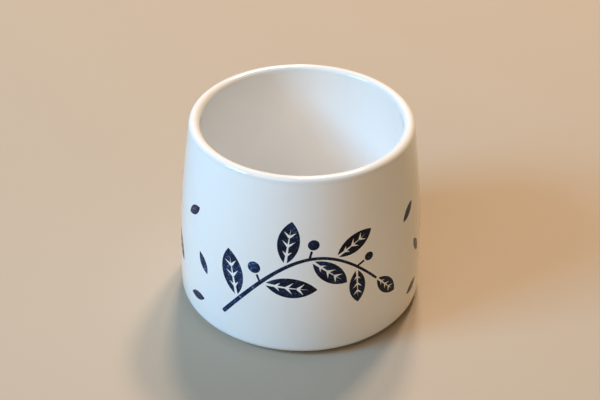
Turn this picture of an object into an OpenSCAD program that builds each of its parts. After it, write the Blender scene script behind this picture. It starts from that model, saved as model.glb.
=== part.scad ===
/* [Cup] */
// Height from the table to the crest of the lip
cup_height = 71; // [64:1:80]
// Outer diameter across the lip
rim_diameter = 78; // [74:1:84]
// Greatest outer diameter, just above the foot
base_diameter = 88; // [86:1:94]
// Height where the upright lower wall and the leaning upper wall would meet, if both ran straight
shoulder_height = 37; // [32:1:42]
// Wall thickness at the lip, glaze included
rim_wall = 3.9; // [2.6:0.1:4.6]
// Wall thickness near the floor, glaze included
base_wall = 4.2; // [3.4:0.1:5.2]
// Floor thickness over the recess, glaze included
floor_thickness = 4.6; // [3.6:0.1:6]
// Radius between the floor and the wall inside
inner_fillet_radius = 10; // [6:0.5:13]
// Radius of the lower outside edge
bottom_edge_radius = 2.8; // [1.6:0.1:3.6]

/* [Foot ring] */
// Distance that the foot ring stands in from the round of the lower edge
foot_inset = 3.2; // [1:0.2:8]
// Width of the foot ring
foot_width = 3.2; // [2.4:0.1:5]
// Height of the foot ring below the outer wall
foot_height = 1.6; // [1.2:0.1:2.4]
// Radius of the two corners that the foot ring stands on
foot_corner_radius = 0.6; // [0.3:0.1:1]
// Height of the recess inside the foot ring
recess_depth = 2.4; // [1.8:0.1:3.4]

/* [Glaze] */
// Thickness of the glaze coat
glaze_thickness = 0.3; // [0.2:0.05:0.5]

/* [Sprig] */
// Number of sprigs round the wall
sprig_count = 3; // [1:1:3]
// Length of wall that a stem covers from side to side
sprig_span = 56; // [46:1:60]
// Height of a stem's lower end
sprig_low = 14; // [10:1:20]
// Height that a stem climbs from its lower end to its top
sprig_rise = 28; // [20:1:32]
// Width of a stem at its lower end
stem_width = 1.6; // [1.2:0.1:2.2]
// Width of a stem at its tip
stem_tip_width = 0.9; // [0.7:0.1:1.2]
// White gap between a stem and what grows from it
reserve_gap = 0.5; // [0.3:0.1:0.8]

/* [Leaves] */
// Length of the largest leaf
leaf_length = 19; // [15:0.5:20]
// Width of the largest leaf
leaf_width = 8.6; // [5:0.2:9.4]
// Least length of span from one leaf to the next
leaf_spacing = 8.4; // [8:0.2:12]
// Angle between a leaf and the stem
leaf_angle = 50; // [46:1:60]
// Width of the white midrib at the foot of a leaf
midrib_width = 1.3; // [0.8:0.1:1.8]
// Width of a white vein where it leaves the midrib
vein_width = 1.2; // [0.7:0.1:1.6]

/* [Berries] */
// Diameter of the largest berry
berry_diameter = 5; // [3:0.2:5.6]
// Length of the stalk that carries a berry
stalk_length = 3.2; // [2.6:0.1:4]
// Width of a stalk
stalk_width = 0.8; // [0.6:0.1:1.1]

/* [Loose leaves] */
// Length of a loose leaf
loose_leaf_length = 8.5; // [6:0.5:11]
// Width of a loose leaf
loose_leaf_width = 3.4; // [2.4:0.2:4.4]

/* [Hidden] */
$fn = 96;
overrun = 1;

// Colours of the fired clay, the glaze and the ink
clay = [0.90, 0.87, 0.81];
white = [0.95, 0.95, 0.94];
ink = [0.11, 0.13, 0.24];

// Points on each curved stretch of the section
edge_steps = 4;
wall_steps = 8;
lip_steps = 6;
fillet_steps = 6;

// Main radii and heights of the section
rim_r = rim_diameter/2;
base_r = base_diameter/2;
foot_r = base_r - bottom_edge_radius - foot_inset;
foot_inner_r = foot_r - foot_width;
lip_r = rim_wall/2;
floor_top = recess_depth + floor_thickness;
inner_r = base_r - base_wall;

// Centres of the round stretches
lip_centre = [rim_r - lip_r, cup_height - lip_r];
edge_centre = [base_r - bottom_edge_radius, foot_height + bottom_edge_radius];
fillet_centre = [inner_r - inner_fillet_radius, floor_top + inner_fillet_radius];

// Control points of the wall, outside and inside: upright below, touching the lip above
outer_knee = [base_r, shoulder_height];
inner_knee = [inner_r, shoulder_height];
outer_lip_angle = touch_angle(outer_knee, -1);
inner_lip_angle = touch_angle(inner_knee, 1);
outer_curve = [[base_r, edge_centre[1]], outer_knee, lip_point(outer_lip_angle)];
inner_curve = [[inner_r, fillet_centre[1]], inner_knee, lip_point(inner_lip_angle)];

// The leaves on a stem: where the first and last one stand, how small the last one is, how many fit
first_leaf_share = 0.10;
last_leaf_share = 0.86;
last_leaf_size_share = 0.66;
leaf_count = floor((last_leaf_share - first_leaf_share)*sprig_span/leaf_spacing) + 1;
// The veins of a leaf: how many on each side, how far they reach, where the midrib ends
vein_count = 3;
vein_angle = 48;
vein_reach_share = 0.62;
midrib_end_share = 0.86;
// The arc of a stem, and the straight lengths that draw it
stem_sweep = 148;
stem_steps = 10;
// Which leaf places carry a berry across the stem, how far its stalk leans on, how small the last one is
first_berry = 1;
berry_every = 2;
stalk_lean = 24;
last_berry_size_share = 0.6;
// Loose leaves: shares of the bare strip before the next sprig and of a stem's climb, and their turns
loose_place_shares = [[0.25, 1.16], [0.55, 0.52], [0.40, -0.06]];
loose_turns = [38, -58, 14];

// A printed shape is cut from the coat by a prism square to the wall at the shape's place. It starts inside
// the clay, deep enough for the tip of a leaf that grows sideways from there, and ends clear of the cup
coat_r = min(rim_r, base_r) - glaze_thickness;
longest_reach = leaf_length + stem_width;
print_root_r = sqrt(coat_r*coat_r - longest_reach*longest_reach);
print_reach = max(rim_r, base_r) + overrun - print_root_r;
sprig_pitch = 2*PI*base_r/sprig_count;

// Ends of the bare strip between one sprig and the next, as lengths round the wall
strip_start = sprig_span/2 + leaf_length*last_leaf_size_share;
strip_end = sprig_pitch - sprig_span/2;

// Direction from the lip's centre to where a line from a point touches the lip
function touch_angle(p, side) =
  let (d = p - lip_centre, a = atan2(d[1], d[0]) - side*acos(lip_r/norm(d)))
  a < -90 ? a + 360 : a;

function lip_point(a) = lip_centre + lip_r*[cos(a), sin(a)];

// Points from one angle to another on a circle about a centre
function arc(centre, r, from, to, steps) =
  [for (i = [0:steps]) let (a = from + (to - from)*i/steps) centre + r*[cos(a), sin(a)]];

// Inside points of a wall curve, moved sideways by an inset
function wall(p, inset) = [
  for (i = [1:wall_steps - 1])
    let (t = i/wall_steps, d = (1 - t)*(p[1] - p[0]) + t*(p[2] - p[1]))
    (1 - t)*(1 - t)*p[0] + 2*t*(1 - t)*p[1] + t*t*p[2] + inset*[-d[1], d[0]]/norm(d)
];

function reversed(list) = [for (i = [len(list) - 1:-1:0]) list[i]];

// Section of the outside, from the foot ring up to the crest of the lip, sunk by a depth
function outside(depth) = concat(
  [[foot_r, foot_height + depth]],
  arc(edge_centre, bottom_edge_radius - depth, -90, 0, edge_steps),
  wall(outer_curve, depth),
  arc(lip_centre, lip_r - depth, outer_lip_angle, 90, lip_steps)
);

// Section of the inside, from the crest of the lip down to the middle of the floor, sunk by a depth
function inside(depth) = concat(
  arc(lip_centre, lip_r - depth, 90, inner_lip_angle, lip_steps),
  reversed(wall(inner_curve, -depth)),
  arc(fillet_centre, inner_fillet_radius + depth, 0, -90, fillet_steps),
  [[0, floor_top - depth]]
);

// Section of the bare foot ring, from the middle of the recess out to the underside of the wall
function foot_section() = concat(
  [[0, recess_depth + glaze_thickness], [foot_inner_r, recess_depth + glaze_thickness]],
  arc([foot_inner_r + foot_corner_radius, foot_corner_radius], foot_corner_radius, 180, 270, edge_steps),
  arc([foot_r - foot_corner_radius, foot_corner_radius], foot_corner_radius, -90, 0, edge_steps)
);

// The outer coat before anything is printed in it
module outer_shell() {
  rotate_extrude() polygon(concat(outside(0), reversed(outside(glaze_thickness))));
}

// Place and direction on a stem at a share of its length: length round the wall, then height
function stem_place(t) = [sprig_span*t - sprig_span/2, sprig_low + sprig_rise*sin(stem_sweep*t)];
function stem_angle(t) = atan2(sprig_rise*cos(stem_sweep*t)*stem_sweep*PI/180, sprig_span);
function stem_size(t) = stem_width + (stem_tip_width - stem_width)*t;

// Share of the stem at a leaf place, the side that its leaf grows on, and the sizes there
function leaf_share(i) = first_leaf_share + (last_leaf_share - first_leaf_share)*i/(leaf_count - 1);
function leaf_side(i) = i % 2 == 0 ? 1 : -1;
function leaf_size(t) = 1 + (last_leaf_size_share - 1)*t;
function berry_size(t) = berry_diameter*(1 + (last_berry_size_share - 1)*t);

// Direction of a berry's stalk, across the stem from the leaf there and leaning on along the stem
function stalk_angle(i) = stem_angle(leaf_share(i)) - leaf_side(i)*(90 - stalk_lean);

// Radius of the two arcs that bound a leaf
function leaf_arc_r(length, width) = (length*length + width*width)/(4*width);

// How far a leaf's edge first leans back towards the stem, where the leaf opens wider than its angle
function foot_dip(length, width, angle) =
  leaf_arc_r(length, width)*(1 - cos(max(0, 2*atan(width/length) - angle)));

// Half the width of a leaf at a distance from its foot
function leaf_half_width(length, width, x) =
  let (r = leaf_arc_r(length, width))
  sqrt(r*r - (x - length/2)*(x - length/2)) - (r - width/2);

// Pointed leaf between two arcs, lying along X from its foot at the origin
module leaf_blank(length, width) {
  r = leaf_arc_r(length, width);
  intersection() {
    translate([length/2, r - width/2]) circle(r);
    translate([length/2, width/2 - r]) circle(r);
  }
}

// Leaf with its midrib and veins left white
module veined_leaf(length, width, size) {
  half_rib = midrib_width*size/2;
  half_vein = vein_width*size/2;
  difference() {
    leaf_blank(length, width);
    polygon([[-overrun, -half_rib], [length*midrib_end_share, 0], [-overrun, half_rib]]);
    for (i = [1:vein_count], side = [-1, 1]) {
      x = length*midrib_end_share*i/(vein_count + 1);
      reach = vein_reach_share*leaf_half_width(length, width, x)/sin(vein_angle);
      translate([x, 0]) rotate(side*vein_angle)
        polygon([[0, -half_vein], [reach, 0], [0, half_vein]]);
    }
  }
}

// Prism of a flat shape about a place on the wall, square to the wall there
module on_wall(place) {
  rotate([0, 0, place[0]/base_r*180/PI])
    translate([0, -print_root_r, place[1]])
      rotate([90, 0, 0])
        linear_extrude(print_reach) children();
}

// Prism of a tapered length of stem between two places on the wall
module stem_length(from, to, from_width, to_width) {
  d = to - from;
  on_wall((from + to)/2) rotate(atan2(d[1], d[0])) polygon([
    [-norm(d)/2, -from_width/2], [norm(d)/2, -to_width/2],
    [norm(d)/2, to_width/2], [-norm(d)/2, from_width/2]
  ]);
}

module each_sprig() {
  for (i = [0:sprig_count - 1]) rotate([0, 0, 360*i/sprig_count]) children();
}

module stem_prisms() {
  for (i = [0:stem_steps - 1]) {
    t = i/stem_steps;
    u = (i + 1)/stem_steps;
    stem_length(stem_place(t), stem_place(u), stem_size(t), stem_size(u));
  }
  for (i = [0:stem_steps]) on_wall(stem_place(i/stem_steps)) circle(d = stem_size(i/stem_steps));
  for (i = [first_berry:berry_every:leaf_count - 1]) {
    on_wall(stem_place(leaf_share(i))) rotate(stalk_angle(i)) translate([0, -stalk_width/2])
      square([stalk_length, stalk_width]);
  }
}

// Leaves along both sides of the stem, and one that carries the stem on from its tip
module leaf_prisms() {
  for (i = [0:leaf_count]) {
    at_tip = i == leaf_count;
    t = at_tip ? 1 : leaf_share(i);
    a = stem_angle(t) + (at_tip ? 0 : leaf_side(i)*leaf_angle);
    length = leaf_length*leaf_size(t);
    width = leaf_width*leaf_size(t);
    clear = stem_size(t)/2 + reserve_gap;
    start = at_tip ? clear : (clear + foot_dip(length, width, leaf_angle))/sin(leaf_angle);
    on_wall(stem_place(t)) rotate(a) translate([start, 0]) veined_leaf(length, width, leaf_size(t));
  }
}

module berry_prisms() {
  for (i = [first_berry:berry_every:leaf_count - 1]) {
    t = leaf_share(i);
    on_wall(stem_place(t)) rotate(stalk_angle(i)) translate([stalk_length + reserve_gap + berry_size(t)/2, 0])
      circle(d = berry_size(t));
  }
}

module loose_leaf_prisms() {
  for (i = [0:len(loose_turns) - 1]) {
    share = loose_place_shares[i];
    on_wall([strip_start + (strip_end - strip_start)*share[0], sprig_low + sprig_rise*share[1]])
      rotate(loose_turns[i]) translate([-loose_leaf_length/2, 0])
        leaf_blank(loose_leaf_length, loose_leaf_width);
  }
}

// Fired clay wall, floor and bare foot ring in one piece
module porcelain_body() {
  color(clay) rotate_extrude()
    polygon(concat(outside(glaze_thickness), inside(glaze_thickness), foot_section()));
}

// Clear coat over the inside, up to the crest of the lip
module inner_glaze() {
  color(white) rotate_extrude() polygon(concat(inside(0), reversed(inside(glaze_thickness))));
}

// Clear coat over the outside, from the crest of the lip to the foot ring, open where it is printed
module outer_glaze() {
  color(white) difference() {
    outer_shell();
    each_sprig() {
      stem_prisms();
      leaf_prisms();
      berry_prisms();
      loose_leaf_prisms();
    }
  }
}

// Clear coat on the recess inside the foot ring
module foot_glaze() {
  color(white) translate([0, 0, recess_depth]) cylinder(h = glaze_thickness, r = foot_inner_r);
}

// Inked coat that fills the open places
module printed() {
  color(ink) intersection() {
    outer_shell();
    each_sprig() children();
  }
}

module sprig_stems() printed() stem_prisms();
module sprig_leaves() printed() leaf_prisms();
module sprig_berries() printed() berry_prisms();
module loose_leaves() printed() loose_leaf_prisms();

porcelain_body();
inner_glaze();
outer_glaze();
foot_glaze();
sprig_stems();
sprig_leaves();
sprig_berries();
loose_leaves();
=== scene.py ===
import math
import bmesh
import bpy
from bpy.props import FloatProperty, FloatVectorProperty, IntProperty, PointerProperty
from mathutils import Matrix, Vector
from mathutils.geometry import delaunay_2d_cdt


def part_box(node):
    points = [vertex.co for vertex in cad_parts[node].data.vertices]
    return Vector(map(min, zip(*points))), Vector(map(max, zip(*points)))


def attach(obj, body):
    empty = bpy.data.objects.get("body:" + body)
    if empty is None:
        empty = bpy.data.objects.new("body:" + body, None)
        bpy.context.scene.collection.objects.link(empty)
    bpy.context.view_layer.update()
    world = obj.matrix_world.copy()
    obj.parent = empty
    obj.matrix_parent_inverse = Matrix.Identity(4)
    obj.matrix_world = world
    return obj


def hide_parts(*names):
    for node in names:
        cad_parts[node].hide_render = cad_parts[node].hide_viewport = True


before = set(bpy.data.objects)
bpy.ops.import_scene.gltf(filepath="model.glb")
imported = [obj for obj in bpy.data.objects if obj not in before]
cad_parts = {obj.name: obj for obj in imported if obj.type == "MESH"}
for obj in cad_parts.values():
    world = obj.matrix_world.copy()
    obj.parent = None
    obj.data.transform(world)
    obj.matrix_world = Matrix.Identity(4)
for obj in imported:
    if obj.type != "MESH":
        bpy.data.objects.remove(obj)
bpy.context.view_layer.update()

bl_info = {
    "name": "Sprigged porcelain cup",
    "version": (1, 0, 0),
    "blender": (4, 5, 0),
    "location": "View3D > Sidebar > Cup",
    "description": "Glazes, prints and lights a handleless porcelain cup",
    "category": "Object",
}

MM = 0.001
# Points closer than this are joined, and edges sharper than this stay sharp
WELD = 0.001 * MM
CREASE = math.radians(38)
# Steps along the outlines of the printed shapes
LEAF_STEPS = 48
DISC_STEPS = 48
STEM_STEPS = 60
STEM_END_STEPS = 20
# Least distance from an outline to a point inside it, as a share of the grain
EDGE_CLEARANCE = 0.55
# The fired surface strays fully from this many foot heights up
CALM_FEET = 3
BODY = "root"
COAT_LOW, COAT_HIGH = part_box("outer_glaze")
RECESS_LOW, RECESS_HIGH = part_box("foot_glaze")


def size(name, about, value):
    return FloatProperty(name=name, description=about, default=value, unit="LENGTH", subtype="DISTANCE")


def share(name, about, value):
    return FloatProperty(name=name, description=about, default=value, subtype="FACTOR")


def angle(name, about, degrees):
    return FloatProperty(name=name, description=about, default=math.radians(degrees), subtype="ANGLE")


def count(name, about, value):
    return IntProperty(name=name, description=about, default=value, min=1)


def colour(name, about, value):
    return FloatVectorProperty(name=name, description=about, default=value, subtype="COLOR", min=0, max=1)


def ratio(name, about, value):
    return FloatProperty(name=name, description=about, default=value, min=1)


def camera_size(name, about, value):
    return FloatProperty(name=name, description=about, default=value, subtype="DISTANCE_CAMERA")


class CupSizes(bpy.types.PropertyGroup):
    height: size("Height", "From the table to the crest of the lip", COAT_HIGH[2])
    rim_diameter: size("Lip diameter", "Outer diameter across the lip", 78 * MM)
    base_diameter: size("Base diameter", "Greatest outer diameter, just above the foot", 88 * MM)
    shoulder_height: size("Shoulder", "Where the lower and upper wall would meet, both straight", 37 * MM)
    rim_wall: size("Lip thickness", "Wall thickness at the lip", 3.9 * MM)
    base_wall: size("Wall thickness", "Wall thickness near the floor", 4.2 * MM)
    floor_thickness: size("Floor thickness", "Floor thickness over the recess", 4.6 * MM)
    inner_fillet: size("Inner fillet", "Radius between the floor and the wall inside", 10 * MM)
    bottom_edge: size("Lower edge", "Radius of the lower outside edge", 2.8 * MM)
    foot_inset: size("Foot inset", "From the round of the lower edge in to the foot ring", 3.2 * MM)
    foot_width: size("Foot width", "Width of the foot ring", 3.2 * MM)
    foot_height: size("Foot height", "Height of the foot ring below the outer wall", COAT_LOW[2])
    foot_corner: size("Foot corner", "Radius of the corners that the foot ring stands on", 0.6 * MM)
    recess_depth: size("Recess depth", "Height of the recess inside the foot ring", RECESS_LOW[2])
    recess_fillet: size("Recess fillet", "Radius of the glaze between recess and foot ring", 0.9 * MM)
    glaze: size("Glaze thickness", "Thickness of the glaze coat", RECESS_HIGH[2] - RECESS_LOW[2])
    ripple: size("Ripple", "How far the fired surface strays from true", 0.07 * MM)
    ripple_length: size("Ripple length", "Distance over which the fired surface strays", 22 * MM)
    turns: count("Turns", "Faces round the cup", 300)


class SprigSizes(bpy.types.PropertyGroup):
    sprigs: count("Sprigs", "Sprigs round the wall", 3)
    span: size("Span", "Length of wall that a stem covers from side to side", 56 * MM)
    low: size("Low end", "Height of a stem's lower end", 14 * MM)
    rise: size("Rise", "Height that a stem climbs from its lower end to its top", 28 * MM)
    sweep: angle("Sweep", "How much of an arch a stem makes", 148)
    stem_width: size("Stem width", "Width of a stem at its lower end", 1.6 * MM)
    stem_tip_width: size("Stem tip width", "Width of a stem at its tip", 0.9 * MM)
    gap: size("Gap", "White gap between a stem and what grows from it", 0.5 * MM)
    leaves: count("Leaves", "Leaves along a stem", 6)
    first_leaf: share("First leaf", "Share of the stem at the first leaf", 0.10)
    last_leaf: share("Last leaf", "Share of the stem at the last leaf", 0.86)
    last_leaf_size: share("Last leaf size", "Size of a leaf at the tip, as a share of the largest", 0.66)
    leaf_length: size("Leaf length", "Length of the largest leaf", 19 * MM)
    leaf_width: size("Leaf width", "Width of the largest leaf", 8.6 * MM)
    leaf_angle: angle("Leaf angle", "Angle between a leaf and the stem", 50)
    midrib_width: size("Midrib width", "Width of the white midrib at the foot of a leaf", 1.3 * MM)
    midrib_end: share("Midrib end", "Share of the leaf where its midrib ends", 0.86)
    veins: count("Veins", "Veins on each side of a leaf", 3)
    vein_width: size("Vein width", "Width of a white vein where it leaves the midrib", 1.2 * MM)
    vein_angle: angle("Vein angle", "Angle between a vein and the midrib", 48)
    vein_reach: share("Vein reach", "Share of the half leaf that a vein crosses", 0.62)
    berry_diameter: size("Berry", "Diameter of the largest berry", 5 * MM)
    last_berry_size: share("Last berry size", "Size of a berry at the tip, as a share of the largest", 0.6)
    stalk_length: size("Stalk length", "Length of the stalk that carries a berry", 3.2 * MM)
    stalk_width: size("Stalk width", "Width of a stalk", 0.8 * MM)
    stalk_lean: angle("Stalk lean", "How far a stalk leans on along the stem", 24)
    loose_length: size("Loose leaf length", "Length of a loose leaf", 8.5 * MM)
    loose_width: size("Loose leaf width", "Width of a loose leaf", 3.4 * MM)
    proud: size("Proud", "How far the print stands out of the glaze", 0.02 * MM)
    depth: size("Depth", "How far the print reaches into the glaze", 0.2 * MM)
    grain: size("Grain", "Distance between the points of a printed shape", 0.36 * MM)


class Finishes(bpy.types.PropertyGroup):
    glaze: colour("Glaze", "Clear coat over white clay", (0.91, 0.905, 0.89))
    thick_glaze: colour("Thick glaze", "Where the coat gathers", (0.86, 0.885, 0.90))
    # Partly painted shade: besides the thin glaze over the lip, this darker tone dims the brightly lit
    # crest of the lip
    thin_glaze_crest_shade: colour("Thin glaze", "Where the coat runs thin over an edge", (0.80, 0.78, 0.74))
    speck: colour("Speck", "Iron specks under the coat", (0.36, 0.28, 0.20))
    ink: colour("Ink", "Indigo print where it is heavy", (0.002, 0.004, 0.012))
    thin_ink: colour("Thin ink", "Indigo print where it is rubbed thin", (0.014, 0.050, 0.155))
    ink_fleck: colour("Ink fleck", "Pale flecks where the print is rubbed thin", (0.30, 0.39, 0.68))
    glaze_roughness: share("Glaze roughness", "Least roughness of the glaze", 0.04)
    glaze_coat: share("Glaze coat", "Weight of the clear coat over the glaze", 0.2)
    glaze_ior: ratio("Glaze refraction", "Index of refraction of glaze and clay", 1.5)
    ink_roughness: share("Ink roughness", "Least roughness of the print", 0.10)
    ink_ior: ratio("Ink refraction", "Index of refraction of the print, which shines little", 1.22)
    clay_roughness: share("Clay roughness", "Least roughness of bare clay", 0.82)
    floor_roughness: share("Floor roughness", "Roughness of the studio floor", 0.85)
    clouds: size("Clouds", "Width of the patches where the glaze gathers", 24 * MM)
    drift: size("Drift", "Width of the slow waves of gloss", 7 * MM)
    skin: size("Skin", "Width of the fine waves of gloss", 1.9 * MM)
    specks: size("Specks", "Width of the cells that may hold a speck", 6.5 * MM)
    pinholes: size("Pinholes", "Distance between pinholes", 4.1 * MM)
    pool: size("Pool", "Height over which the glaze gathers above the foot", 7 * MM)
    # Also the height over which the lip's crest is darkened as painted shade
    crest: size("Crest", "Height over which the glaze thins towards the lip", 2.4 * MM)
    ink_patches: size("Ink patches", "Width of the patches where the print is thinner", 15 * MM)
    ink_clouds: size("Ink clouds", "Width of the clouds that hold flecks", 3.4 * MM)
    ink_flecks: size("Ink flecks", "Width of a fleck", 0.8 * MM)
    rubbed_low: size("Rubbed from", "Place along a sprig below which the print is rubbed", -24 * MM)
    rubbed_high: size("Rubbed to", "Place along a sprig where the rubbing ends", 8 * MM)
    loose_low: size("Loose from", "Place past a sprig where rubbing starts again", 34 * MM)
    loose_high: size("Loose to", "Place past a sprig from which the print is rubbed", 44 * MM)
    grain: size("Grain", "Width of the grain of bare clay", 0.35 * MM)
    clay_patches: size("Clay patches", "Width of the worn patches of bare clay", 5 * MM)
    clay: colour("Clay", "Bare fired clay", (0.72, 0.66, 0.56))
    worn_clay: colour("Worn clay", "Bare clay rubbed grey by use", (0.50, 0.46, 0.40))
    floor: colour("Floor", "Studio floor", (0.46, 0.385, 0.30))
    backdrop: colour("Backdrop", "What the camera and the gloss see past the floor", (0.50, 0.47, 0.43))
    shade: colour("Shade", "Light that comes from all round", (0.17, 0.10, 0.01))


class Studio(bpy.types.PropertyGroup):
    elevation: angle("Elevation", "How far the camera looks down", 34.98)
    roll: angle("Roll", "How far the camera is turned about its view", 0.75)
    distance: size("Distance", "From the camera to the middle of the cup", 432.2 * MM)
    shift_right: size("Shift right", "How far the cup stands right of the view's middle", 0.33 * MM)
    shift_up: size("Shift up", "How far the cup stands above the view's middle", -0.49 * MM)
    lens: camera_size("Lens", "Focal length", 72)
    sensor: camera_size("Sensor", "Sensor width", 36)
    floor_width: size("Floor width", "Side of the studio floor", 4.0)


class Wire:
    """A node's output that Python's own operators can work on."""

    def __init__(self, graph, socket):
        self.graph = graph
        self.socket = socket

    def __add__(self, other):
        return self.graph.math("ADD", self, other)

    def __radd__(self, other):
        return self.graph.math("ADD", other, self)

    def __sub__(self, other):
        return self.graph.math("SUBTRACT", self, other)

    def __rsub__(self, other):
        return self.graph.math("SUBTRACT", other, self)

    def __mul__(self, other):
        return self.graph.math("MULTIPLY", self, other)

    def __rmul__(self, other):
        return self.graph.math("MULTIPLY", other, self)

    def __truediv__(self, other):
        return self.graph.math("DIVIDE", self, other)

    def __rtruediv__(self, other):
        return self.graph.math("DIVIDE", other, self)

    def __pow__(self, other):
        return self.graph.math("POWER", self, other)


class Made:
    """A node that was added to a graph. Its outputs are reached by name or place."""

    def __init__(self, graph, node):
        self.graph = graph
        self.node = node

    def __getitem__(self, name):
        if isinstance(name, int):
            return Wire(self.graph, self.node.outputs[name])
        return Wire(self.graph, next(s for s in self.node.outputs if s.enabled and s.name == name))


class Graph:
    """A node tree that is written as Python expressions."""

    def __init__(self, tree):
        self.tree = tree

    def add(self, kind, settings=None, sockets=None):
        node = self.tree.nodes.new(kind)
        for name, value in (settings or {}).items():
            setattr(node, name, value)
        for name, value in (sockets or {}).items():
            self.join(self.socket(node, name), value)
        return Made(self, node)

    @staticmethod
    def socket(node, name):
        if isinstance(name, int):
            return node.inputs[name]
        return next(s for s in node.inputs if s.enabled and s.name == name)

    def join(self, socket, value):
        if isinstance(value, Wire):
            self.tree.links.new(value.socket, socket)
        elif socket.type == "RGBA" and len(value) == 3:
            socket.default_value = (*value, 1)
        else:
            socket.default_value = value

    def math(self, operation, *values):
        return self.add("ShaderNodeMath", {"operation": operation}, dict(enumerate(values)))[0]

    def vector(self, operation, *values):
        return self.add("ShaderNodeVectorMath", {"operation": operation}, dict(enumerate(values)))[0]

    def scaled(self, vector, factor):
        sockets = {"Vector": vector, "Scale": factor}
        return self.add("ShaderNodeVectorMath", {"operation": "SCALE"}, sockets)[0]

    def ramp(self, value, low, high):
        """0 below low, 1 above high, and smooth between them."""
        sockets = {"Value": value, "From Min": low, "From Max": high}
        return self.add("ShaderNodeMapRange", {"interpolation_type": "SMOOTHSTEP"}, sockets)["Result"]

    def mix(self, factor, first, second):
        sockets = {"Factor": factor, "A": first, "B": second}
        return self.add("ShaderNodeMix", {"data_type": "RGBA"}, sockets)["Result"]

    def named(self, name):
        sockets = {"Name": name}
        return self.add("GeometryNodeInputNamedAttribute", {"data_type": "FLOAT"}, sockets)["Attribute"]

    def painted(self, geometry, finish):
        """The last two steps of a tree: plain geometry with its material."""
        plain = self.add("GeometryNodeRealizeInstances", {}, {"Geometry": geometry})["Geometry"]
        sockets = {"Geometry": plain, "Material": finish}
        return self.add("GeometryNodeSetMaterial", {}, sockets)["Geometry"]

    def noise(self, coordinates, length, detail=2.0, roughness=0.5):
        """Smooth noise whose patches are about length across."""
        sockets = {"Vector": coordinates, "Scale": 1 / length, "Detail": detail, "Roughness": roughness}
        return self.add("ShaderNodeTexNoise", {}, sockets)

    def cells(self, coordinates, length):
        """Distance from the middle of cells about length across, and a colour for each cell."""
        return self.add("ShaderNodeTexVoronoi", {}, {"Vector": coordinates, "Scale": 1 / length})

    def relief(self, height, distance, under=None):
        """Normal of a surface with that height, in metres, over another normal."""
        sockets = {"Height": height, "Distance": distance, "Strength": 1.0}
        if under:
            sockets["Normal"] = under
        return self.add("ShaderNodeBump", {}, sockets)["Normal"]


def material(name):
    """An empty material and the graph of its nodes."""
    made = bpy.data.materials.new(name)
    made.use_nodes = True
    made.node_tree.nodes.clear()
    return made, Graph(made.node_tree)


def finish_material(graph, sockets):
    shader = graph.add("ShaderNodeBsdfPrincipled", {}, sockets)
    graph.add("ShaderNodeOutputMaterial", {}, {"Surface": shader["BSDF"]})


def glaze_material(name):
    """Clear glossy coat over white clay, bluer where it gathers, and creamier and darker towards the lip,
    partly thin glaze and partly painted shade that dims the brightly lit crest.
    """
    looks, cup = bpy.context.scene.cup_finishes, bpy.context.scene.cup_sizes
    made, g = material(name)
    place = g.add("ShaderNodeTexCoord")["Object"]
    axes = g.add("ShaderNodeSeparateXYZ", {}, {"Vector": place})
    height = axes["Z"]
    clouds = g.noise(place, looks.clouds, 3.0)["Fac"]
    drift = g.noise(place, looks.drift)["Fac"]
    low = 1 - g.ramp(height, cup.foot_height, cup.foot_height + looks.pool)
    gathered = g.ramp(clouds, 0.42, 0.72) * 0.55 + low * 0.5
    # Towards the crest of the lip the tone turns darker and creamier: partly thin glaze, partly painted
    # shade that dims the brightly lit crest
    crest = g.ramp(height + drift * (0.8 * MM), cup.height - looks.crest, cup.height + 0.2 * MM)
    cells = g.cells(place, looks.specks)
    drawn = g.add("ShaderNodeSeparateColor", {}, {"Color": cells["Color"]})["Red"]
    chosen = g.math("GREATER_THAN", drawn, 0.93)
    specks = (1 - g.ramp(cells["Distance"], 0.018, 0.04)) * chosen * 0.5
    tone = g.mix(gathered, looks.glaze, looks.thick_glaze)
    # Painted shade and thin glaze on the crest of the lip
    tone = g.mix(crest * 0.8, tone, looks.thin_glaze_crest_shade)
    tone = g.mix(specks, tone, looks.speck)
    skin = g.noise(place, looks.skin)["Fac"]
    pinholes = 1 - g.ramp(g.cells(place, looks.pinholes)["Distance"], 0.0, 0.03)
    normal = g.relief(skin * 0.012 - pinholes * 0.02 + drift * 0.05, MM)
    finish_material(g, {
        "Base Color": tone, "Roughness": looks.glaze_roughness + drift * 0.07, "IOR": looks.glaze_ior,
        "Coat Weight": looks.glaze_coat, "Coat Roughness": looks.glaze_roughness, "Normal": normal,
    })
    return made


def ink_material(name):
    """Indigo print under the gloss: nearly black where heavy, speckled and blue where rubbed thin."""
    looks = bpy.context.scene.cup_finishes
    made, g = material(name)
    place = g.add("ShaderNodeTexCoord")["Object"]
    edge = g.add("ShaderNodeAttribute", {"attribute_name": "edge"})["Fac"]
    along = g.add("ShaderNodeAttribute", {"attribute_name": "along"})["Fac"]
    patches = g.ramp(g.noise(place, looks.ink_patches, 1.0)["Fac"], 0.42, 0.62)
    past = g.ramp(along, looks.loose_low, looks.loose_high)
    ends = 1 - g.ramp(along, looks.rubbed_low, looks.rubbed_high) + past * 0.8
    rubbed = patches * 0.35 + ends * 0.65
    clouds = g.ramp(g.noise(place, looks.ink_clouds, 3.0, 0.6)["Fac"], 0.42, 0.62)
    fleck = g.ramp(g.noise(place, looks.ink_flecks, 2.0, 0.65)["Fac"], 0.53, 0.70)
    inside = 0.3 + g.ramp(edge, 0.0, 1.0) * 0.7
    thin = rubbed * (0.35 + clouds * 0.65) * inside
    tone = g.mix(thin, looks.ink, looks.thin_ink)
    tone = g.mix(fleck * inside * (0.05 + rubbed * (0.12 + clouds * 0.63)), tone, looks.ink_fleck)
    skin = g.noise(place, looks.skin)["Fac"]
    slow = g.noise(place, looks.drift)["Fac"]
    finish_material(g, {
        "Base Color": tone, "Roughness": looks.ink_roughness + slow * 0.08, "IOR": looks.ink_ior,
        "Normal": g.relief(skin * 0.012 + slow * 0.05, MM),
    })
    return made


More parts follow.
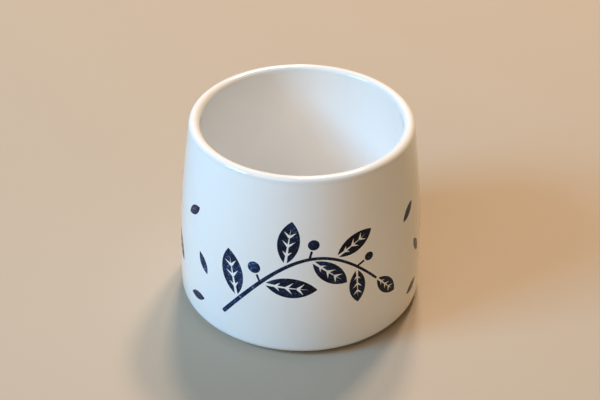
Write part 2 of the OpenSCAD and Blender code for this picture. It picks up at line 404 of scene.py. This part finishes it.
def clay_material(name):
    """Bare fired clay: dry, fine grained and rubbed grey where the foot ring touches the table."""
    looks, cup = bpy.context.scene.cup_finishes, bpy.context.scene.cup_sizes
    made, g = material(name)
    place = g.add("ShaderNodeTexCoord")["Object"]
    height = g.add("ShaderNodeSeparateXYZ", {}, {"Vector": place})["Z"]
    grain = g.noise(place, looks.grain, 3.0, 0.6)["Fac"]
    patches = g.noise(place, looks.clay_patches, 4.0)["Fac"]
    worn = (1 - g.ramp(height, 0.0, 0.5 * MM)) * g.ramp(patches, 0.42, 0.62)
    line = g.ramp(height + patches * (0.4 * MM), cup.foot_height - 0.2 * MM, cup.foot_height + 0.3 * MM)
    tone = g.mix(grain * 0.35, looks.clay, looks.worn_clay)
    tone = g.mix(worn * 0.75 + line * 0.25, tone, looks.worn_clay)
    finish_material(g, {
        "Base Color": tone, "Roughness": looks.clay_roughness + grain * 0.12, "IOR": looks.glaze_ior,
        "Normal": g.relief(grain * 0.09 + patches * 0.05, MM),
    })
    return made


def heading(turned):
    return Vector((math.cos(turned), math.sin(turned)))


def arc(centre, radius, start, end, steps):
    return [centre + radius * heading(start + (end - start) * i / steps) for i in range(steps + 1)]


class Section:
    """The cup's section as points of radius and height, worked out from its sizes."""

    # Steps along each stretch where the fineness is 1, and along each round of the foot
    edge_steps = 4
    wall_steps = 10
    round_steps = 6
    floor_steps = 3
    foot_steps = 8
    recess_rings = 12

    def __init__(self, cup):
        self.cup = cup
        self.lip_r = cup.rim_wall / 2
        self.base_r = cup.base_diameter / 2
        self.inner_r = self.base_r - cup.base_wall
        self.foot_r = self.base_r - cup.bottom_edge - cup.foot_inset
        self.foot_inner_r = self.foot_r - cup.foot_width
        self.floor_top = cup.recess_depth + cup.floor_thickness
        self.lip = Vector((cup.rim_diameter / 2 - self.lip_r, cup.height - self.lip_r))
        self.edge = Vector((self.base_r - cup.bottom_edge, cup.foot_height + cup.bottom_edge))
        self.fillet = Vector((self.inner_r - cup.inner_fillet, self.floor_top + cup.inner_fillet))
        self.outer = self.curve(self.base_r, self.edge.y, -1)
        self.inner = self.curve(self.inner_r, self.fillet.y, 1)

    def curve(self, radius, low, side):
        """Control points of a wall, upright below and touching the lip above, and the angle of touch."""
        knee = Vector((radius, self.cup.shoulder_height))
        away = knee - self.lip
        touch = math.atan2(away.y, away.x) - side * math.acos(self.lip_r / away.length)
        touch %= 2 * math.pi
        return (Vector((radius, low)), knee, self.lip + self.lip_r * heading(touch)), touch

    @staticmethod
    def wall(points, inset, steps):
        a, b, c = points
        found = []
        for i in range(1, steps):
            t = i / steps
            way = ((1 - t) * (b - a) + t * (c - b)).normalized()
            place = (1 - t) ** 2 * a + 2 * t * (1 - t) * b + t * t * c
            found.append(place + inset * Vector((-way.y, way.x)))
        return found

    def wall_radius(self, height):
        """Outer radius of the wall at a height."""
        (r0, a), (r1, b), (r2, c) = self.outer[0]
        rise = 2 * (b - a)
        t = 2 * (height - a) / (rise + math.sqrt(rise * rise - 4 * (a - 2 * b + c) * (a - height)))
        return (1 - t) ** 2 * r0 + 2 * t * (1 - t) * r1 + t * t * r2

    def outside(self, depth, fine):
        """From the foot ring up to just short of the crest of the lip, sunk by a depth."""
        points, touch = self.outer
        start = Vector((self.foot_r, self.cup.foot_height + depth))
        rise = arc(self.edge, self.cup.bottom_edge - depth, -math.pi / 2, 0, self.edge_steps * fine)
        lip = arc(self.lip, self.lip_r - depth, touch, math.pi / 2, self.round_steps * fine)
        return [start] + rise + self.wall(points, depth, self.wall_steps * fine) + lip[:-1]

    def inside(self, depth, fine):
        """From the crest of the lip down to the middle of the floor, sunk by a depth."""
        points, touch = self.inner
        steps = self.round_steps * fine
        lip = arc(self.lip, self.lip_r - depth, math.pi / 2, touch, steps)
        fall = arc(self.fillet, self.cup.inner_fillet + depth, 0, -math.pi / 2, steps)
        rings = self.floor_steps * fine
        low = self.floor_top - depth
        floor = [Vector((self.fillet.x * (1 - i / rings), low)) for i in range(1, rings + 1)]
        return lip + self.wall(points, -depth, self.wall_steps * fine)[::-1] + fall + floor

    def coat(self):
        """The glaze: from the floor's middle over the lip to the foot, and back through the clay."""
        depth = self.cup.glaze
        shown = self.outside(0, 4) + self.inside(0, 4)
        hidden = self.outside(depth, 1) + self.inside(depth, 1)
        return shown[::-1] + hidden

    def clay(self):
        """The fired clay: inside, outside and bare foot ring, from the floor's middle to the recess."""
        depth, cup = self.cup.glaze, self.cup
        skin = self.outside(depth, 2) + self.inside(depth, 2)
        r, steps = cup.foot_corner, self.foot_steps
        outer = arc(Vector((self.foot_r - r, r)), r, 0, -math.pi / 2, steps)
        inner = arc(Vector((self.foot_inner_r + r, r)), r, -math.pi / 2, -math.pi, steps)
        top = cup.recess_depth + depth
        return skin[::-1] + outer + inner + [Vector((self.foot_inner_r, top)), Vector((0, top))]

    def recess(self):
        """The glaze under the floor, drawn down a little where it meets the foot ring."""
        cup = self.cup
        r, low, high = cup.recess_fillet, cup.recess_depth, cup.recess_depth + cup.glaze
        rings = self.recess_rings
        reach = self.foot_inner_r - r
        flat = [Vector((reach * i / rings, low)) for i in range(rings)]
        bead = arc(Vector((reach, low - r)), r, math.pi / 2, 0, self.foot_steps)
        return flat + bead + [Vector((self.foot_inner_r, high)), Vector((0, high))]


def tree_of(name, inputs):
    """A geometry tree with named inputs, its graph, and its inputs by name."""
    tree = bpy.data.node_groups.new(name, "GeometryNodeTree")
    tree.interface.new_socket("Geometry", in_out="INPUT", socket_type="NodeSocketGeometry")
    for title, kind in inputs:
        tree.interface.new_socket(title, in_out="INPUT", socket_type="NodeSocket" + kind)
    tree.interface.new_socket("Geometry", in_out="OUTPUT", socket_type="NodeSocketGeometry")
    graph = Graph(tree)
    return tree, graph, graph.add("NodeGroupInput")


def lathe_tree():
    """Turns a section about the cup's axis and lets the surface stray a little, as firing does."""
    tree, g, given = tree_of("turned section", [
        ("Turns", "Int"), ("Guide Radius", "Float"), ("Ripple", "Float"), ("Ripple Length", "Float"),
        ("Calm Height", "Float"), ("Finish", "Material"),
    ])
    section = g.add("GeometryNodeMeshToCurve", {}, {"Mesh": given["Geometry"]})["Curve"]
    ring = g.add("GeometryNodeCurvePrimitiveCircle", {}, {
        "Resolution": given["Turns"], "Radius": given["Guide Radius"],
    })
    turned = g.add("GeometryNodeCurveToMesh", {}, {
        "Curve": ring["Curve"], "Profile Curve": section,
    })["Mesh"]
    welded = g.add("GeometryNodeMergeByDistance", {}, {
        "Geometry": turned, "Distance": WELD,
    })["Geometry"]
    place = g.add("GeometryNodeInputPosition")["Position"]
    stray = g.add("ShaderNodeTexNoise", {}, {
        "Vector": place, "Scale": 1 / given["Ripple Length"], "Detail": 1.0,
    })["Color"]
    centred = g.vector("SUBTRACT", stray, (0.5, 0.5, 0.5))
    axes = g.add("ShaderNodeSeparateXYZ", {}, {"Vector": place})
    lifted = g.ramp(axes["Z"], 0.0, given["Calm Height"])
    offset = g.scaled(centred, given["Ripple"] * 2 * lifted)
    moved = g.add("GeometryNodeSetPosition", {}, {"Geometry": welded, "Offset": offset})["Geometry"]
    g.add("NodeGroupOutput", {}, {"Geometry": g.painted(moved, given["Finish"])})
    return tree


def print_tree():
    """Sets a flat motif at points, repeats them round the cup, lays all onto the wall and thickens it.

    Each shape is laid on along the wall's normal at its anchor, or, where the plane share is 0, at each
    of its points.
    """
    tree, g, given = tree_of("wrapped print", [
        ("Motif", "Object"), ("Wall", "Object"), ("Copies", "Int"), ("Wall Radius", "Float"),
        ("Plane Share", "Float"), ("Proud", "Float"), ("Depth", "Float"), ("Finish", "Material"),
    ])
    motif = g.add("GeometryNodeObjectInfo", {}, {"Object": given["Motif"]})["Geometry"]
    spin = g.add("ShaderNodeCombineXYZ", {}, {"Z": g.named("turn")})["Vector"]
    rotation = g.add("FunctionNodeEulerToRotation", {}, {"Euler": spin})["Rotation"]
    sprig = g.add("GeometryNodeInstanceOnPoints", {}, {
        "Points": given["Geometry"], "Instance": motif, "Rotation": rotation, "Scale": g.named("size"),
    })["Instances"]
    row = g.add("GeometryNodeMeshLine", {}, {"Count": given["Copies"], "Offset": (0.0, 0.0, 0.0)})["Mesh"]
    copy_turn = g.add("GeometryNodeInputIndex")["Index"] * (2 * math.pi) / given["Copies"]
    row = g.add("GeometryNodeStoreNamedAttribute", {}, {
        "Geometry": row, "Name": "copy turn", "Value": copy_turn,
    })["Geometry"]
    round_cup = g.add("GeometryNodeInstanceOnPoints", {}, {"Points": row, "Instance": sprig})["Instances"]
    flat = g.add("GeometryNodeRealizeInstances", {}, {"Geometry": round_cup})["Geometry"]
    axes = g.add("ShaderNodeSeparateXYZ", {}, {"Vector": g.add("GeometryNodeInputPosition")["Position"]})
    flat = g.add("GeometryNodeStoreNamedAttribute", {}, {
        "Geometry": flat, "Name": "along", "Value": axes["X"],
    })["Geometry"]
    across = (axes["X"] - g.named("anchor")) * given["Plane Share"]
    way = (axes["X"] - across) / given["Wall Radius"] + g.named("copy turn")
    sine, cosine = g.math("SINE", way), g.math("COSINE", way)
    outward = g.add("ShaderNodeCombineXYZ", {}, {"X": sine, "Y": cosine * -1})["Vector"]
    beside = g.add("ShaderNodeCombineXYZ", {}, {
        "X": cosine * across, "Y": sine * across, "Z": axes["Y"],
    })["Vector"]
    far = given["Wall Radius"] * 2
    hit = g.add("GeometryNodeRaycast", {}, {
        "Target Geometry": g.add("GeometryNodeObjectInfo", {}, {"Object": given["Wall"]})["Geometry"],
        "Source Position": g.vector("ADD", g.scaled(outward, far), beside),
        "Ray Direction": g.scaled(outward, -1.0), "Ray Length": far,
    })["Hit Position"]
    wall_out = g.vector("NORMALIZE", g.vector("MULTIPLY", hit, (1.0, 1.0, 0.0)))
    sunk = g.vector("SUBTRACT", hit, g.scaled(wall_out, given["Depth"]))
    sheet = g.add("GeometryNodeSetPosition", {}, {"Geometry": flat, "Position": sunk})["Geometry"]
    raised = g.add("GeometryNodeExtrudeMesh", {"mode": "FACES"}, {
        "Mesh": sheet, "Offset Scale": 0.0, "Individual": False,
    })
    level_out = g.vector("MULTIPLY", g.add("GeometryNodeInputPosition")["Position"], (1.0, 1.0, 0.0))
    lift = g.scaled(g.vector("NORMALIZE", level_out), given["Depth"] + given["Proud"])
    block = g.add("GeometryNodeSetPosition", {}, {
        "Geometry": raised["Mesh"], "Selection": raised["Top"], "Offset": lift,
    })["Geometry"]
    back = g.add("GeometryNodeFlipFaces", {}, {"Mesh": sheet})["Mesh"]
    both = g.add("GeometryNodeJoinGeometry")
    for part in (block, back):
        tree.links.new(part.socket, both.node.inputs["Geometry"])
    solid = g.add("GeometryNodeMergeByDistance", {}, {
        "Geometry": both["Geometry"], "Distance": WELD,
    })["Geometry"]
    g.add("NodeGroupOutput", {}, {"Geometry": g.painted(solid, given["Finish"])})
    return tree


def helper(name, points, edges=(), faces=()):
    """An object that feeds a tree and is removed once the piece is made."""
    mesh = bpy.data.meshes.new(name)
    mesh.from_pydata([(p[0], p[1], 0) for p in points], edges, faces)
    made = bpy.data.objects.new(name, mesh)
    bpy.context.collection.objects.link(made)
    return made


def grow(name, source, tree, values):
    """The plain mesh that a tree makes of an object, as a closed piece with its faces outwards."""
    modifier = source.modifiers.new("grow", "NODES")
    modifier.node_group = tree
    sockets = {s.name: s.identifier for s in tree.interface.items_tree if s.in_out == "INPUT"}
    for title, value in values.items():
        modifier[sockets[title]] = value
    evaluated = source.evaluated_get(bpy.context.evaluated_depsgraph_get())
    mesh = bpy.data.meshes.new_from_object(evaluated)
    source.modifiers.remove(modifier)
    mesh.name = name
    work = bmesh.new()
    work.from_mesh(mesh)
    bmesh.ops.recalc_face_normals(work, faces=work.faces)
    work.to_mesh(mesh)
    work.free()
    for face in mesh.polygons:
        face.use_smooth = True
    mesh.set_sharp_from_angle(angle=CREASE)
    piece = bpy.data.objects.new(name, mesh)
    bpy.context.collection.objects.link(piece)
    return piece


def discard(*helpers):
    for one in helpers:
        bpy.data.objects.remove(one)


def turned_piece(name, section, finish, slot, *nodes):
    """Turns a section into a piece that stands for the named solids."""
    cup = bpy.context.scene.cup_sizes
    guide = cup.base_diameter / 2
    points = [(p.x - guide, -p.y) for p in section]
    source = helper(name + " section", points, edges=[(i, i + 1) for i in range(len(points) - 1)])
    piece = grow(name, source, lathe_tree(), {
        "Turns": cup.turns, "Guide Radius": guide, "Finish": finish,
        "Ripple": cup.ripple, "Ripple Length": cup.ripple_length,
        "Calm Height": cup.foot_height * CALM_FEET,
    })
    discard(source)
    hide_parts(*nodes)
    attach(piece, BODY)


def dense(outline, step):
    """The same closed outline with points no further apart than a step."""
    found = []
    for a, b in zip(outline, outline[1:] + outline[:1]):
        parts = max(1, math.ceil((b - a).length / step))
        found += [a.lerp(b, i / parts) for i in range(parts)]
    return found


def leftwise(outline):
    """The same outline, run so that what it bounds lies on its left."""
    area = sum(a.cross(b) for a, b in zip(outline, outline[1:] + outline[:1]))
    return outline if area > 0 else outline[::-1]


def distance_to(point, segments):
    """Distance from a point to the nearest of some segments."""
    least = math.inf
    for a, b in segments:
        along = b - a
        t = min(1, max(0, (point - a).dot(along) / along.length_squared))
        least = min(least, (a + t * along - point).length)
    return least


def flat_motif(name, solids, cuts, step):
    """A flat mesh of what lies in any of the solid outlines and in none of the cuts, finely meshed."""
    outlines = [dense(leftwise([p / MM for p in outline]), step / MM) for outline in solids + cuts]
    step = step / MM
    points, faces, segments = [], [], []
    for outline in outlines:
        faces.append(list(range(len(points), len(points) + len(outline))))
        points += outline
        segments += zip(outline, outline[1:] + outline[:1])
    low = Vector((min(p.x for p in points), min(p.y for p in points)))
    high = Vector((max(p.x for p in points), max(p.y for p in points)))
    for row in range(math.ceil((high.y - low.y) / step)):
        for column in range(math.ceil((high.x - low.x) / step)):
            p = low + step * Vector((column + 0.5 * (row % 2), row + 0.5))
            if distance_to(p, segments) > EDGE_CLEARANCE * step:
                points.append(p)
    found, _, tiles, _, _, owners = delaunay_2d_cdt(points, [], faces, 0, 1e-5)
    kept = [
        tile for tile, owner in zip(tiles, owners)
        if any(i < len(solids) for i in owner) and not any(i >= len(solids) for i in owner)
    ]
    used = sorted({i for tile in kept for i in tile})
    place = {old: new for new, old in enumerate(used)}
    tiles = [[place[i] for i in tile] for tile in kept]
    motif = helper(name, [found[i] * MM for i in used], faces=tiles)
    border = border_of(kept)
    rim = [(found[a], found[b]) for a, b in border]
    edge = motif.data.attributes.new("edge", "FLOAT", "POINT")
    for i, old in enumerate(used):
        edge.data[i].value = min(1, distance_to(found[old], rim) / step)
    return motif


def border_of(tiles):
    """Edges that only one tile has."""
    seen = {}
    for tile in tiles:
        for a, b in zip(tile, tile[1:] + tile[:1]):
            key = (min(a, b), max(a, b))
            seen[key] = seen.get(key, 0) + 1
    return [key for key, uses in seen.items() if uses == 1]


def stem_place(t):
    """Place on a stem at a share of its length: length round the wall, then height."""
    s = bpy.context.scene.cup_sprig
    return Vector((s.span * t - s.span / 2, s.low + s.rise * math.sin(s.sweep * t)))


def stem_angle(t):
    s = bpy.context.scene.cup_sprig
    return math.atan2(s.rise * math.cos(s.sweep * t) * s.sweep, s.span)


def stem_size(t):
    s = bpy.context.scene.cup_sprig
    return s.stem_width + (s.stem_tip_width - s.stem_width) * t


def leaf_share(i):
    s = bpy.context.scene.cup_sprig
    return s.first_leaf + (s.last_leaf - s.first_leaf) * i / (s.leaves - 1)


def leaf_side(i):
    return 1 if i % 2 == 0 else -1


def grown(last, t):
    """Size of what grows at a share of the stem, as a share of the largest."""
    return 1 + (last - 1) * t


def leaf_arc_r(length, width):
    return (length * length + width * width) / (4 * width)


def half_leaf(length, width, x):
    r = leaf_arc_r(length, width)
    return math.sqrt(r * r - (x - length / 2) ** 2) - (r - width / 2)


def leaf_outline(length, width):
    """Pointed leaf between two arcs, lying along X from its foot at the origin."""
    places = [length * i / LEAF_STEPS for i in range(LEAF_STEPS + 1)]
    upper = [Vector((x, half_leaf(length, width, x))) for x in places]
    lower = [Vector((p.x, -p.y)) for p in upper[-2:0:-1]]
    return upper + lower


def disc(radius, steps=DISC_STEPS):
    return [radius * heading(2 * math.pi * i / steps) for i in range(steps)]


def berry_places():
    """Share of the stem and direction of the stalk for each berry."""
    s = bpy.context.scene.cup_sprig
    return [
        (leaf_share(i), heading(stem_angle(leaf_share(i)) - leaf_side(i) * (math.pi / 2 - s.stalk_lean)))
        for i in range(1, s.leaves, 2)
    ]


def printed_piece(name, motif, stands, node, plane_share=1.0):
    """Prints a flat motif at stands of anchor, offset, turn and size, on every sprig round the wall."""
    cup, s = bpy.context.scene.cup_sizes, bpy.context.scene.cup_sprig
    points = helper(name + " points", [anchor + offset for anchor, offset, turned, scale in stands])
    columns = {
        "anchor": [anchor.x for anchor, offset, turned, scale in stands],
        "turn": [turned for anchor, offset, turned, scale in stands],
        "size": [scale for anchor, offset, turned, scale in stands],
    }
    for title, values in columns.items():
        points.data.attributes.new(title, "FLOAT", "POINT").data.foreach_set("value", values)
    piece = grow(name, points, print_tree(), {
        "Motif": motif, "Wall": bpy.data.objects["glaze_coat"], "Copies": s.sprigs,
        "Wall Radius": cup.base_diameter / 2, "Plane Share": plane_share,
        "Proud": s.proud, "Depth": s.depth, "Finish": ink_material(name + "_ink"),
    })
    discard(points, motif)
    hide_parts(node)
    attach(piece, BODY)


class CUP_OT_glaze_coat(bpy.types.Operator):
    """Turns the clear coat that covers the cup inside and out"""

    bl_idname = "cup.glaze_coat"
    bl_label = "Glaze Coat"

    def execute(self, context):
        section = Section(context.scene.cup_sizes).coat()
        finish = glaze_material("clear_glaze")
        turned_piece("glaze_coat", section, finish, "clear_glaze", "inner_glaze", "outer_glaze")
        return {"FINISHED"}


class CUP_OT_clay_body(bpy.types.Operator):
    """Turns the fired clay with its bare foot ring"""

    bl_idname = "cup.clay_body"
    bl_label = "Clay Body"

    def execute(self, context):
        section = Section(context.scene.cup_sizes).clay()
        finish = clay_material("bare_clay")
        turned_piece("clay_body", section, finish, "fired_clay", "porcelain_body")
        return {"FINISHED"}


class CUP_OT_recess_glaze(bpy.types.Operator):
    """Turns the coat on the recess inside the foot ring"""

    bl_idname = "cup.recess_glaze"
    bl_label = "Recess Glaze"

    def execute(self, context):
        section = Section(context.scene.cup_sizes).recess()
        finish = glaze_material("recess_clear_glaze")
        turned_piece("recess_glaze", section, finish, "clear_glaze", "foot_glaze")
        return {"FINISHED"}


class CUP_OT_stems(bpy.types.Operator):
    """Prints the arching stems and the berry stalks"""

    bl_idname = "cup.stems"
    bl_label = "Stems"

    def execute(self, context):
        s = context.scene.cup_sprig
        upper, lower = [], []
        for i in range(STEM_STEPS + 1):
            t = i / STEM_STEPS
            side = heading(stem_angle(t) + math.pi / 2) * stem_size(t) / 2
            upper.append(stem_place(t) + side)
            lower.append(stem_place(t) - side)
        solids = [upper[::-1] + lower]
        for t in (0, 1):
            solids.append([stem_place(t) + p for p in disc(stem_size(t) / 2, STEM_END_STEPS)])
        for t, way in berry_places():
            side = Vector((-way.y, way.x)) * s.stalk_width / 2
            end = s.stalk_length * way
            solids.append([self.bent(stem_place(t), p) for p in (side, -side, end - side, end + side)])
        motif = flat_motif("stem motif", solids, [], s.grain)
        printed_piece("stem_print", motif, [(Vector((0, 0)), Vector((0, 0)), 0, 1)], "sprig_stems", 0.0)
        return {"FINISHED"}

    @staticmethod
    def bent(anchor, offset):
        """Flat place that comes to lie where an offset from an anchor meets the wall."""
        cup = bpy.context.scene.cup_sizes
        radius = Section(cup).wall_radius(anchor.y + offset.y)
        return anchor + Vector((math.asin(offset.x / radius) * cup.base_diameter / 2, offset.y))


class CUP_OT_leaves(bpy.types.Operator):
    """Prints the leaves with their white midribs and veins"""

    bl_idname = "cup.leaves"
    bl_label = "Leaves"

    def execute(self, context):
        s = context.scene.cup_sprig
        length, width = s.leaf_length, s.leaf_width
        half = s.midrib_width / 2
        end = length * s.midrib_end
        cuts = [[Vector((-MM, -half)), Vector((end, 0)), Vector((-MM, half))]]
        for i in range(1, s.veins + 1):
            x = end * i / (s.veins + 1)
            reach = s.vein_reach * half_leaf(length, width, x) / math.sin(s.vein_angle)
            for side in (-1, 1):
                spin = Matrix.Rotation(side * s.vein_angle, 2)
                vein = [Vector((0, -s.vein_width / 2)), Vector((reach, 0)), Vector((0, s.vein_width / 2))]
                cuts.append([spin @ p + Vector((x, 0)) for p in vein])
        motif = flat_motif("leaf motif", [leaf_outline(length, width)], cuts, s.grain)
        stands = []
        past = max(0, 2 * math.atan(width / length) - s.leaf_angle)
        dip = leaf_arc_r(length, width) * (1 - math.cos(past))
        for i in range(s.leaves + 1):
            at_tip = i == s.leaves
            t = 1 if at_tip else leaf_share(i)
            turned = stem_angle(t) + (0 if at_tip else leaf_side(i) * s.leaf_angle)
            scale = grown(s.last_leaf_size, t)
            clear = stem_size(t) / 2 + s.gap
            start = clear if at_tip else (clear + dip * scale) / math.sin(s.leaf_angle)
            stands.append((stem_place(t), start * heading(turned), turned, scale))
        printed_piece("leaf_print", motif, stands, "sprig_leaves")
        return {"FINISHED"}


class CUP_OT_berries(bpy.types.Operator):
    """Prints the round berries at the ends of their stalks"""

    bl_idname = "cup.berries"
    bl_label = "Berries"

    def execute(self, context):
        s = context.scene.cup_sprig
        radius = s.berry_diameter / 2
        motif = flat_motif("berry motif", [disc(radius)], [], s.grain)
        stands = []
        for t, way in berry_places():
            scale = grown(s.last_berry_size, t)
            stands.append((stem_place(t), (s.stalk_length + s.gap + radius * scale) * way, 0, scale))
        printed_piece("berry_print", motif, stands, "sprig_berries")
        return {"FINISHED"}


class CUP_OT_loose_leaves(bpy.types.Operator):
    """Prints the single leaves in the bare strips between the sprigs"""

    bl_idname = "cup.loose_leaves"
    bl_label = "Loose Leaves"

    place_shares = ((0.25, 1.16), (0.55, 0.52), (0.40, -0.06))
    turns = (38, -58, 14)

    def execute(self, context):
        cup, s = context.scene.cup_sizes, context.scene.cup_sprig
        shift = Vector((-s.loose_length / 2, 0))
        outline = [p + shift for p in leaf_outline(s.loose_length, s.loose_width)]
        motif = flat_motif("loose leaf motif", [outline], [], s.grain)
        start = s.span / 2 + s.leaf_length * s.last_leaf_size
        end = math.pi * cup.base_diameter / s.sprigs - s.span / 2
        stands = []
        for (across, up), turned in zip(self.place_shares, self.turns):
            place = Vector((start + (end - start) * across, s.low + s.rise * up))
            stands.append((place, Vector((0, 0)), math.radians(turned), 1))
        printed_piece("loose_leaf_print", motif, stands, "loose_leaves")
        return {"FINISHED"}


def soft_light(name, place, aim, width, power, tint):
    """A large square lamp that faces a place."""
    lamp = bpy.data.lights.new(name, "AREA")
    lamp.shape = "SQUARE"
    lamp.size = width
    lamp.energy = power
    lamp.color = tint
    made = bpy.data.objects.new(name, lamp)
    made.location = place
    made.rotation_euler = (Vector(aim) - Vector(place)).to_track_quat("-Z", "Y").to_euler()
    bpy.context.collection.objects.link(made)


class CUP_OT_stage(bpy.types.Operator):
    """Sets the floor, the soft lights and the camera"""

    bl_idname = "cup.stage"
    bl_label = "Stage"

    # Name, place and width in metres, power in watts and tint of each lamp
    lamps = (
        ("left_light", (-1.14, -0.46, 0.83), 0.5, 20.2, (0.23, 0.62, 1.0)),
        ("back_left_light", (0.06, 0.82, 1.36), 0.17, 11.6, (1.0, 0.77, 0.58)),
        ("back_right_light", (0.33, 0.77, 1.36), 0.17, 11.6, (1.0, 0.77, 0.58)),
        ("front_light", (-0.55, -0.95, 1.15), 1.0, 7.2, (1.0, 0.86, 0.80)),
    )

    def execute(self, context):
        self.make_floor(context.scene)
        self.make_lights(context.scene)
        self.make_world(context.scene)
        self.make_camera(context.scene)
        context.scene.view_settings.view_transform = "Standard"
        return {"FINISHED"}

    def make_floor(self, scene):
        half = scene.cup_studio.floor_width / 2
        corners = [(-half, -half), (half, -half), (half, half), (-half, half)]
        floor = helper("floor", corners, faces=[(0, 1, 2, 3)])
        made, g = material("studio_floor")
        looks = scene.cup_finishes
        finish_material(g, {"Base Color": looks.floor, "Roughness": looks.floor_roughness})
        floor.data.materials.append(made)

    def make_lights(self, scene):
        middle = (0, 0, scene.cup_sizes.height / 2)
        for name, place, width, power, tint in self.lamps:
            soft_light(name, place, middle, width, power, tint)

    def make_world(self, scene):
        looks = scene.cup_finishes
        world = bpy.data.worlds.new("studio")
        world.use_nodes = True
        world.node_tree.nodes.clear()
        g = Graph(world.node_tree)
        rays = g.add("ShaderNodeLightPath")
        mirrored = g.math("MAXIMUM", rays["Is Glossy Ray"], rays["Is Transmission Ray"])
        seen = g.math("MAXIMUM", rays["Is Camera Ray"], mirrored)
        tone = g.mix(seen, looks.shade, looks.backdrop)
        sky = g.add("ShaderNodeBackground", {}, {"Color": tone, "Strength": 1.0})
        g.add("ShaderNodeOutputWorld", {}, {"Surface": sky["Background"]})
        scene.world = world

    def make_camera(self, scene):
        studio = scene.cup_studio
        lens = bpy.data.cameras.new("camera")
        lens.lens = studio.lens
        lens.sensor_width = studio.sensor
        camera = bpy.data.objects.new("camera", lens)
        tilt = studio.elevation
        right = Vector((1, 0, 0))
        up = Vector((0, math.sin(tilt), math.cos(tilt)))
        back = Vector((0, -math.cos(tilt), math.sin(tilt)))
        middle = Vector((0, 0, scene.cup_sizes.height / 2))
        place = middle - studio.shift_right * right - studio.shift_up * up + studio.distance * back
        stand = Matrix((right, up, back)).transposed() @ Matrix.Rotation(studio.roll, 3, "Z")
        camera.matrix_world = Matrix.Translation(place) @ stand.to_4x4()
        bpy.context.collection.objects.link(camera)
        scene.camera = camera


class CUP_PT_panel(bpy.types.Panel):
    """Lists the cup's pieces in the order that they are made"""

    bl_idname = "CUP_PT_panel"
    bl_label = "Porcelain Cup"
    bl_space_type = "VIEW_3D"
    bl_region_type = "UI"
    bl_category = "Cup"

    def draw(self, context):
        for operator in PIECES:
            self.layout.operator(operator.bl_idname)
        for title in GROUPS:
            group = getattr(context.scene, title)
            box = self.layout.box()
            for name in group.bl_rna.properties.keys():
                if name not in ("rna_type", "name"):
                    box.prop(group, name)


PIECES = (
    CUP_OT_glaze_coat, CUP_OT_clay_body, CUP_OT_recess_glaze, CUP_OT_stems, CUP_OT_leaves,
    CUP_OT_berries, CUP_OT_loose_leaves, CUP_OT_stage,
)
GROUPS = {"cup_sizes": CupSizes, "cup_sprig": SprigSizes, "cup_finishes": Finishes, "cup_studio": Studio}


def register():
    for name, group in GROUPS.items():
        bpy.utils.register_class(group)
        setattr(bpy.types.Scene, name, PointerProperty(type=group))
    for operator in PIECES:
        bpy.utils.register_class(operator)
    bpy.utils.register_class(CUP_PT_panel)


def unregister():
    bpy.utils.unregister_class(CUP_PT_panel)
    for operator in reversed(PIECES):
        bpy.utils.unregister_class(operator)
    for name, group in GROUPS.items():
        delattr(bpy.types.Scene, name)
        bpy.utils.unregister_class(group)


def main():
    register()
    bpy.ops.cup.glaze_coat()
    bpy.ops.cup.clay_body()
    bpy.ops.cup.recess_glaze()
    bpy.ops.cup.stems()
    bpy.ops.cup.leaves()
    bpy.ops.cup.berries()
    bpy.ops.cup.loose_leaves()
    bpy.ops.cup.stage()


if __name__ == "__main__":
    main()
